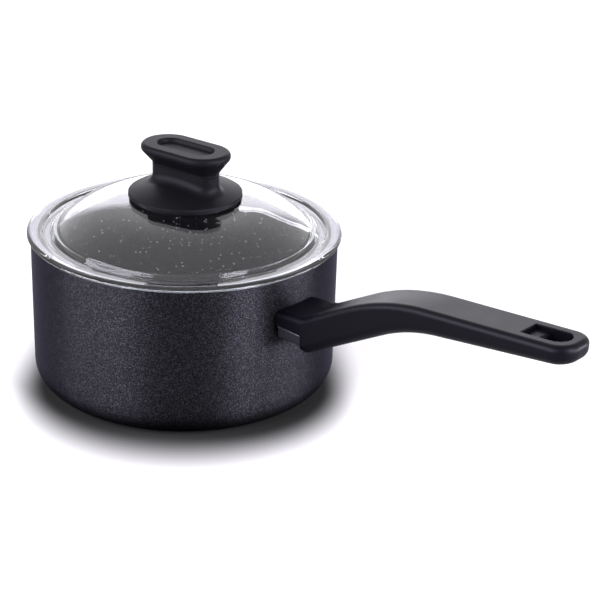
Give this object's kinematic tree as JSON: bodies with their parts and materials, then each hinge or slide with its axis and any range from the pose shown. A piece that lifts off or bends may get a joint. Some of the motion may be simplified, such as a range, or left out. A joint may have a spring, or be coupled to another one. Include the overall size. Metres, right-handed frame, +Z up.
{
  "type": "saucepan with glass lid",
  "caption": "Deep round saucepan in dark coated aluminium with a long cranked handle and a loose pressed glass lid with an oval knob.",
  "frame": {"origin": "centre of the underside, on the surface that the pan stands on", "axes": "+Z up along the pan's axis, +X along the handle, away from the pan"},
  "size_m": [0.3789, 0.1902, 0.1471],
  "materials": {
    "pan_coating": "charcoal non-stick coating with fine metallic speckle, satin",
    "base_steel": "stainless steel disc with turned rings",
    "boss_paint": "black satin paint on aluminium",
    "strap_steel": "polished stainless strip",
    "fixing_steel": "zinc-plated steel",
    "handle_phenolic": "black phenolic moulding with a fine matte texture",
    "knob_phenolic": "black phenolic moulding, matte",
    "lid_glass": "clear pressed glass",
    "silicone": "dark silicone",
    "insert_brass": "machined brass"
  },
  "bodies": {
    "pan": {"pan_body": "pan_coating", "base_disc": "base_steel", "handle_boss": "boss_paint", "handle_strap": "strap_steel", "strap_screws": "fixing_steel", "handle_grip": "handle_phenolic", "handle_washer": "fixing_steel", "handle_screw": "fixing_steel", "handle_nut": "fixing_steel"},
    "lid": {"lid_glass": "lid_glass", "lid_bushing": "silicone", "lid_gasket": "silicone", "lid_washer": "fixing_steel", "knob_base": "knob_phenolic", "knob_grip": "knob_phenolic", "knob_insert": "insert_brass", "knob_screw": "fixing_steel"}
  },
  "joints": [
    {"name": "lid_lift", "type": "slide", "parent": "pan", "child": "lid", "axis": [0, 0, 1], "range_m": [0, 0.12]}
  ]
}
